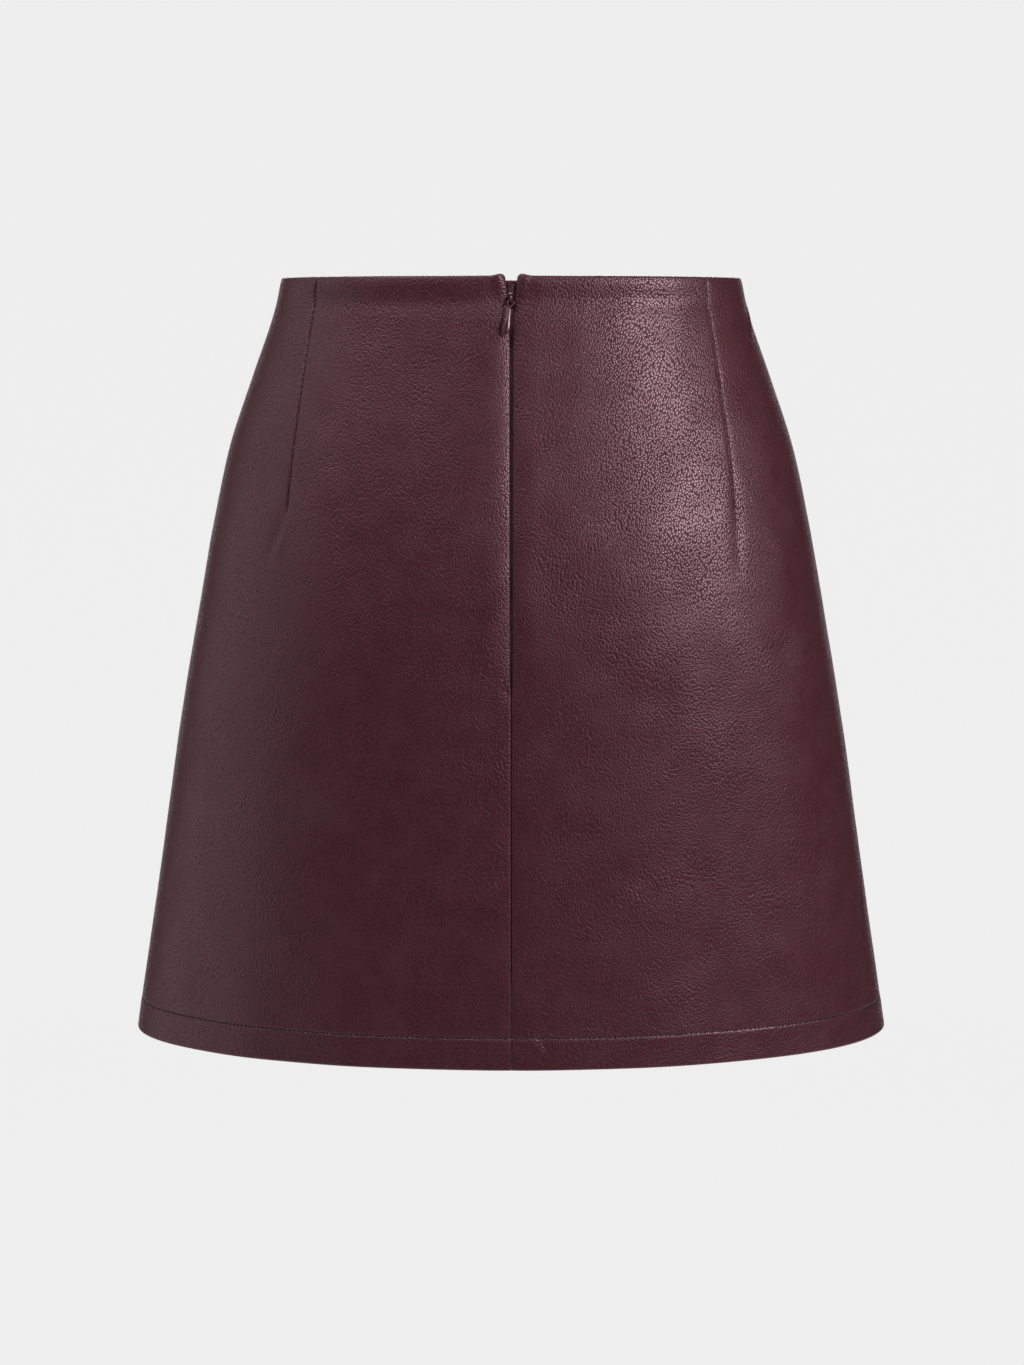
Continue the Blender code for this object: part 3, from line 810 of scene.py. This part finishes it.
def make_panel(name, cut, half, middle_arc, node):
    """A leather panel: one sheet with its edges turned in, on the form."""
    distances = row_distances()
    drops, flat, points = panel_points(cut, half, middle_arc, distances)
    rows, columns = flat.shape
    bm = bmesh.new()
    bmesh.ops.create_grid(bm, x_segments=columns - 1, y_segments=rows - 1, size=0.5)
    across = {vert.index: round((vert.co.x + 0.5) * (columns - 1)) for vert in bm.verts}
    down = {vert.index: round((0.5 - vert.co.y) * (rows - 1)) for vert in bm.verts}
    sheet_uv = bm.loops.layers.uv.new("cut")
    radius = sizes().bend
    half_fold = math.pi * radius / 2
    corners = []
    for face in bm.faces:
        row = down[face.verts[0].index]
        ends = cut.stops(drops[row])
        reach = [distances[down[vert.index]] for vert in face.verts]
        past_row = max(radius - min(reach), max(reach) - LENGTH + radius)
        reach = [flat[row, across[vert.index]] for vert in face.verts]
        past_column = max(ends[0] + radius - min(reach), max(reach) - ends[-1] + radius)
        if min(past_row, past_column) > -CORNER_CLEAR and max(past_row, past_column) > half_fold:
            corners.append(face)
        for loop in face.loops:
            key = loop.vert.index
            loop[sheet_uv].uv = (flat[down[key], across[key]], -distances[down[key]])
    for vert in bm.verts:
        vert.co = points[down[vert.index], across[vert.index]]
    bmesh.ops.delete(bm, geom=corners, context="FACES")
    bm.normal_update()
    facing = sum(face.calc_area() * face.normal.dot(face.calc_center_median() * ROUND_Z)
                 for face in bm.faces)
    if facing < 0:
        bmesh.ops.reverse_faces(bm, faces=bm.faces)
    panel = add_piece(name, bm, [material(leather_face), material(leather_backing)])
    wall = panel.modifiers.new("leather", "SOLIDIFY")
    wall.thickness = sizes().leather
    wall.offset = -1.0
    wall.use_rim = True
    wall.material_offset = 1
    wall.material_offset_rim = 1
    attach(panel, "skirt")
    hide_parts(node)
    return panel


def add_piece(name, bm, materials):
    """Finish a mesh as an object at the origin, shaded smooth."""
    mesh = bpy.data.meshes.new(name)
    bm.to_mesh(mesh)
    bm.free()
    for entry in materials:
        mesh.materials.append(entry)
    mesh.shade_smooth()
    piece = bpy.data.objects.new(name, mesh)
    bpy.context.scene.collection.objects.link(piece)
    return piece


def front_quarter(drop):
    """Distance from the centre front to the side seam."""
    return half_girth(drop) - seam_arc(drop)


def dart_reach(dart, quarter, drop):
    """Distance of a dart's line from the middle, in step with the quarter below its tip."""
    waist, tip, tip_drop = dart
    if drop > tip_drop:
        return quarter(drop) * tip / quarter(tip_drop)
    return waist + (tip - waist) * drop / tip_drop


def back_stops(side):
    """The stops of a back panel as signed arcs, in rising order."""
    def stops(drop):
        line = dart_reach(BACK_DART, seam_arc, drop)
        found = [float(steps(ZIP_GAPS, drop)), line, seam_arc(drop) - TOUCH]
        return found if side > 0 else [-value for value in reversed(found)]
    return stops


def front_stops(drop):
    """The stops of the front panel, round by the right."""
    seam, middle = seam_arc(drop), half_girth(drop)
    reach = dart_reach(FRONT_DART, front_quarter, drop)
    return [seam + TOUCH, middle - reach, middle + reach, 2 * middle - seam - TOUCH]


BACK_SPANS = (66, 62)       # even columns from the centre back to the dart, and on to the side seam
FRONT_SPANS = (42, 56, 42)


class SKIRT_OT_back_panels(bpy.types.Operator):
    """Make the two back panels, each with its dart"""

    bl_idname = "skirt.back_panels"
    bl_label = "Back panels"

    def execute(self, context):
        """Make both panels."""
        for side, word in ((1, "right"), (-1, "left")):
            turnings = (sizes().back_seam, sizes().side_seam)
            cut = Cut(back_stops(side), turnings[::side], BACK_SPANS[::side], [(1, BACK_DART[2])])
            make_panel("back_" + word, cut, "back", lambda drops: np.zeros(len(drops)),
                       "back_panel_" + word)
        return {"FINISHED"}


class SKIRT_OT_front_panel(bpy.types.Operator):
    """Make the front panel with its two darts"""

    bl_idname = "skirt.front_panel"
    bl_label = "Front panel"

    def execute(self, context):
        """Make the panel."""
        cut = Cut(front_stops, (sizes().side_seam, sizes().side_seam), FRONT_SPANS,
                  [(1, FRONT_DART[2]), (2, FRONT_DART[2])])
        make_panel("front", cut, "front", lambda drops: np.array([half_girth(d) for d in drops]),
                   "front_panel")
        return {"FINISHED"}


# ---- Stitches ----
def place_frame(arc, drop, lift):
    """A place on the leather: X round the skirt, Y up it and Z out of it."""
    arcs, drops = np.array([[arc]]), np.array([drop])
    out = outward(arcs, drops)[0, 0]
    point = bare_points(arcs, drops)[0, 0] + out * (float(fold_height(arcs, drops)[0, 0]) + lift)
    ahead = bare_points(arcs + FORM_STEP, drops)[0, 0] - bare_points(arcs - FORM_STEP, drops)[0, 0]
    out, ahead = Vector(out), Vector(ahead).normalized()
    axes = Matrix((ahead, out.cross(ahead).normalized(), out)).transposed().to_4x4()
    return Matrix.Translation(Vector(point)) @ axes


STITCH_SLANT = math.radians(18.0)
STITCH_SINK = 0.00034       # the outer stitches' middles, in from the face of the leather
INNER_STITCH = 0.00018      # and the inner ones', in from the inner layer


class SKIRT_OT_hem_stitches(bpy.types.Operator):
    """Sew the hem with one row of stitches, seen outside and inside"""

    bl_idname = "skirt.hem_stitches"
    bl_label = "Hem stitches"

    def execute(self, context):
        """Sew each panel's hem."""
        drop = LENGTH - sizes().stitch_height
        runs = (
            ("hem_thread_right", back_stops(1)(drop)),
            ("hem_thread_left", back_stops(-1)(drop)),
            ("hem_thread_front", front_stops(drop)),
        )
        for name, stops in runs:
            self.sew(name, stops[0], stops[-1], drop)
        return {"FINISHED"}

    def sew(self, name, start, stop, drop):
        """One panel's row of stitches as one mesh."""
        pitch, length, thread = sizes().stitch_pitch, sizes().stitch_length, sizes().thread
        count = int((stop - start - pitch) / pitch)
        first = (start + stop - (count - 1) * pitch) / 2
        bm = bmesh.new()
        shape = (Matrix.Rotation(STITCH_SLANT, 4, "Z")
                 @ Matrix.Diagonal((length / 2, thread / 2, thread / 2, 1.0))
                 @ Matrix.Rotation(math.pi / 2, 4, "Y"))
        for inset, shift in ((STITCH_SINK, 0.0), (2 * sizes().bend + INNER_STITCH, 0.5)):
            for k in range(count):
                place = place_frame(first + (k + shift * (k < count - 1)) * pitch, drop, -inset)
                bmesh.ops.create_uvsphere(bm, u_segments=6, v_segments=5, radius=1.0,
                                          matrix=place @ shape)
        row = add_piece(name, bm, [material(twisted_thread)])
        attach(row, "skirt")


# ---- Zip ----
COLLAR_SIZE = (0.0007, 0.0004)      # half depth and half height of the pull's collars
PULL_BACK = 0.5             # how deep the pull's drop is behind, as a share of its front
COIL_START = TAPE_TOP + 0.0012
COIL_REACH = 0.0011         # across one side of the open coil
COIL_MESHED = 0.0010        # and of the closed coil, with half the gap added
COIL_OVERLAP = 0.0007       # how far its outer end lies beyond the tape's edge
COIL_LIFT = 0.00035         # the coil's middle, out from the tape's
TURN_SIZE = (0.0006, 0.46, 0.0009)      # added across, share of the pitch, and out
TURN_ROUND = 0.00022


class SKIRT_OT_zip(bpy.types.Operator):
    """Make the zip's coil and give the tapes, slider, stop and pull their finishes"""

    bl_idname = "skirt.zip"
    bl_label = "Zip"

    def execute(self, context):
        """Make the coil, then dress the CAD pieces that stay."""
        self.coil("zip_coil_right", 1)
        self.coil("zip_coil_left", -1)
        self.pull()
        tapes, metal = ("zip_tape_left", "zip_tape_right"), ("zip_slider", "zip_bottom_stop")
        for names, maker in ((tapes, woven_tape), (metal, lacquered_metal)):
            for name in names:
                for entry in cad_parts[name].material_slots:
                    entry.material = material(maker)
        return {"FINISHED"}

    def pull(self):
        """The pull tab: an eye round its bar, two collars and a domed drop."""
        hang = (place_frame(0.0, SLIDER_DROP, 0.0) @ Matrix.Rotation(-math.pi / 2, 4, "X")
                @ Matrix.Translation((0.0, -PULL_BAR_OUT, -PULL_BAR_LOW))
                @ Matrix.Rotation(PULL_LEAN, 4, "Y") @ Matrix.Rotation(-PULL_SWING, 4, "X"))
        bm = bmesh.new()
        made = bmesh.ops.create_circle(bm, segments=10, radius=PULL_WIRE,
                                       matrix=Matrix.Translation((PULL_EYE, 0.0, 0.0)))["verts"]
        edges = {edge for vert in made for edge in vert.link_edges}
        bmesh.ops.spin(bm, geom=made + list(edges), axis=(0.0, 1.0, 0.0), steps=24,
                       angle=2 * math.pi, use_merge=True)
        bmesh.ops.translate(bm, verts=bm.verts, vec=(0.0, 0.0, -PULL_EYE))
        along, halves, depths = zip(*PULL_DROP)
        made = bmesh.ops.create_uvsphere(bm, u_segments=24, v_segments=28, radius=1.0)["verts"]
        for vert in made:
            turn = math.atan2(vert.co.y, vert.co.x)
            down = along[0] + (along[-1] - along[0]) * (1.0 - vert.co.z) / 2
            half = float(np.interp(down, along, halves))
            deep = float(np.interp(down, along, depths))
            deep *= 1.0 if math.sin(turn) < 0 else PULL_BACK
            vert.co = (half * math.cos(turn), deep * math.sin(turn), -down)
        for place, half in PULL_COLLARS:
            shape = (Matrix.Translation((0.0, 0.0, -place))
                     @ Matrix.Diagonal((half, *COLLAR_SIZE, 1.0)))
            bmesh.ops.create_uvsphere(bm, u_segments=18, v_segments=10, radius=1.0, matrix=shape)
        bmesh.ops.recalc_face_normals(bm, faces=bm.faces)
        bmesh.ops.transform(bm, matrix=hang, verts=bm.verts)
        tab = add_piece("zip_pull", bm, [material(lacquered_metal)])
        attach(tab, "zip_pull")
        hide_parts("zip_pull_tab")

    def coil(self, name, side):
        """One side of the coil: turns that stand on the tape's edge, meshed below the slider."""
        pitch = sizes().tooth_pitch
        bm = bmesh.new()
        wider, share, tall = TURN_SIZE
        drop = COIL_START + (pitch / 2 if side > 0 else 0.0)
        while drop < ZIP_END:
            gap = float(steps(TAPE_GAPS, drop))
            reach = COIL_REACH if drop < ZIP_CLOSED else COIL_MESHED + gap
            middle = side * (gap + COIL_OVERLAP - reach / 2)
            place = place_frame(middle, drop, COIL_LIFT - TAPE_INSET)
            block = Matrix.Diagonal((reach + wider, pitch * share, tall, 1.0))
            made = bmesh.ops.create_cube(bm, size=1.0, matrix=place @ block)["verts"]
            edges = list({edge for vert in made for edge in vert.link_edges})
            bmesh.ops.bevel(bm, geom=edges, offset=TURN_ROUND, segments=1, profile=0.5,
                            affect="EDGES", material=-1)
            drop += pitch
        coil = add_piece(name, bm, [material(coil_plastic)])
        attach(coil, "skirt")


# ---- Stage ----
CAMERA_PLACE = (0.0004, -2.13, -0.031)
CAMERA_TILT = math.radians(90.0 - 5.092)
CAMERA_LENS = 102.85
FLOOR_DROP = 0.95
GLOW_SHARE = 0.97           # of the floor's brightness that doesn't depend on the lights
FILL = (0.035, 0.035, 0.036, 1.0)
# Name, azimuth from the back towards the wearer's right, elevation, distance, size and watts
LIGHTS = (
    ("softbox_right", 55.0, 25.0, 1.9, 1.00, 0.68, 25.0),
    ("softbox_high", -50.0, 60.0, 2.0, 1.4, 1.0, 20.0),
    ("softbox_left", -92.0, 8.0, 2.2, 3.0, 2.6, 15.0),
    ("softbox_front", 180.0, 36.0, 2.2, 1.6, 1.2, 22.0),
)


class SKIRT_OT_stage(bpy.types.Operator):
    """Set up the floor, the lights and the camera"""

    bl_idname = "skirt.stage"
    bl_label = "Stage"

    def execute(self, context):
        """Make the floor, backdrop light, softboxes and camera."""
        scene = context.scene
        self.floor()
        self.world(scene)
        for row in LIGHTS:
            self.light(*row)
        camera = bpy.data.cameras.new("camera")
        camera.lens = CAMERA_LENS
        camera.sensor_fit = "AUTO"
        camera.sensor_width = 36.0
        camera.clip_start, camera.clip_end = 0.05, 100.0
        stand = bpy.data.objects.new("camera", camera)
        stand.location = CAMERA_PLACE
        stand.rotation_euler = (CAMERA_TILT, 0.0, 0.0)
        scene.collection.objects.link(stand)
        scene.camera = stand
        scene.view_settings.view_transform = "Standard"
        scene.view_settings.look = "None"
        return {"FINISHED"}

    def floor(self):
        """A plain pale floor and the backdrop behind it, one as bright as the other."""
        bm = bmesh.new()
        bmesh.ops.create_grid(bm, x_segments=4, y_segments=4, size=5.0,
                              matrix=Matrix.Translation((0.0, 4.1, -FLOOR_DROP))
                              @ Matrix.Diagonal((0.26, 1.0, 1.0, 1.0)))
        bmesh.ops.create_grid(bm, x_segments=4, y_segments=4, size=1.3,
                              matrix=Matrix.Translation((0.0, 3.2, 0.2))
                              @ Matrix.Rotation(math.pi / 2, 4, "X"))
        shader = Shader("pale_floor")
        grey = colours().studio
        haze = shader.noise(shader.coordinates(), 0.6, 1.0, 0.5)
        tone = shader.mix(haze, (0.80, 0.80, 0.80, 1.0), (0.82, 0.82, 0.82, 1.0))
        paint = shader.node("ShaderNodeBsdfDiffuse", None, {"Color": tone})
        glow = shader.node("ShaderNodeEmission", None, {"Color": (grey, grey, grey, 1.0)})
        shader.show(shader.node("ShaderNodeMixShader", None, {0: GLOW_SHARE, 1: paint, 2: glow}))
        floor = add_piece("floor", bm, [shader.material])

    def world(self, scene):
        """A pale backdrop, and dimmer light from all round."""
        world = bpy.data.worlds.new("studio")
        scene.world = world
        world.use_nodes = True
        tree = world.node_tree
        tree.nodes.clear()
        out = tree.nodes.new("ShaderNodeOutputWorld")
        path = tree.nodes.new("ShaderNodeLightPath")
        pick = tree.nodes.new("ShaderNodeMixShader")
        tree.links.new(path.outputs["Is Camera Ray"], pick.inputs[0])
        for number, colour in ((1, FILL), (2, rgba((1.0, 1.0, 1.0), colours().studio))):
            shine = tree.nodes.new("ShaderNodeBackground")
            shine.inputs["Color"].default_value = colour
            tree.links.new(shine.outputs[0], pick.inputs[number])
        tree.links.new(pick.outputs[0], out.inputs["Surface"])

    def light(self, name, azimuth, elevation, distance, width, height, watts):
        """A softbox that faces the skirt's middle."""
        turn, rise = math.radians(azimuth), math.radians(elevation)
        middle = Vector((0.0, 0.0, -0.2))
        away = Vector((math.sin(turn) * math.cos(rise), -math.cos(turn) * math.cos(rise),
                       math.sin(rise)))
        data = bpy.data.lights.new(name, "AREA")
        data.shape = "RECTANGLE"
        data.size, data.size_y = width, height
        data.energy = watts
        lamp = bpy.data.objects.new(name, data)
        lamp.location = middle + away * distance
        lamp.rotation_euler = (-away).to_track_quat("-Z", "Y").to_euler()
        bpy.context.scene.collection.objects.link(lamp)


class SKIRT_PT_panel(bpy.types.Panel):
    """Lists the skirt's sizes, colours and pieces"""

    bl_idname = "SKIRT_PT_panel"
    bl_label = "Leather skirt"
    bl_space_type = "VIEW_3D"
    bl_region_type = "UI"
    bl_category = "Skirt"

    def draw(self, context):
        """Show every size and colour, and a button for each piece."""
        for group in (context.scene.skirt_sizes, context.scene.skirt_colours):
            box = self.layout.box()
            for name in group.bl_rna.properties.keys():
                if name not in {"rna_type", "name"}:
                    box.prop(group, name)
        for operator in OPERATORS:
            self.layout.operator(operator.bl_idname)


OPERATORS = (
    SKIRT_OT_back_panels,
    SKIRT_OT_front_panel,
    SKIRT_OT_hem_stitches,
    SKIRT_OT_zip,
    SKIRT_OT_stage,
)
CLASSES = (SkirtSizes, SkirtColours, *OPERATORS, SKIRT_PT_panel)


def register():
    """Register the classes and give the scene its sizes and colours."""
    for cls in CLASSES:
        bpy.utils.register_class(cls)
    bpy.types.Scene.skirt_sizes = PointerProperty(type=SkirtSizes)
    bpy.types.Scene.skirt_colours = PointerProperty(type=SkirtColours)


def unregister():
    """Take them away again."""
    del bpy.types.Scene.skirt_sizes
    del bpy.types.Scene.skirt_colours
    for cls in reversed(CLASSES):
        bpy.utils.unregister_class(cls)


def main():
    """Make every piece in order."""
    register()
    for operator in OPERATORS:
        group, name = operator.bl_idname.split(".")
        getattr(getattr(bpy.ops, group), name)()


if __name__ == "__main__":
    main()
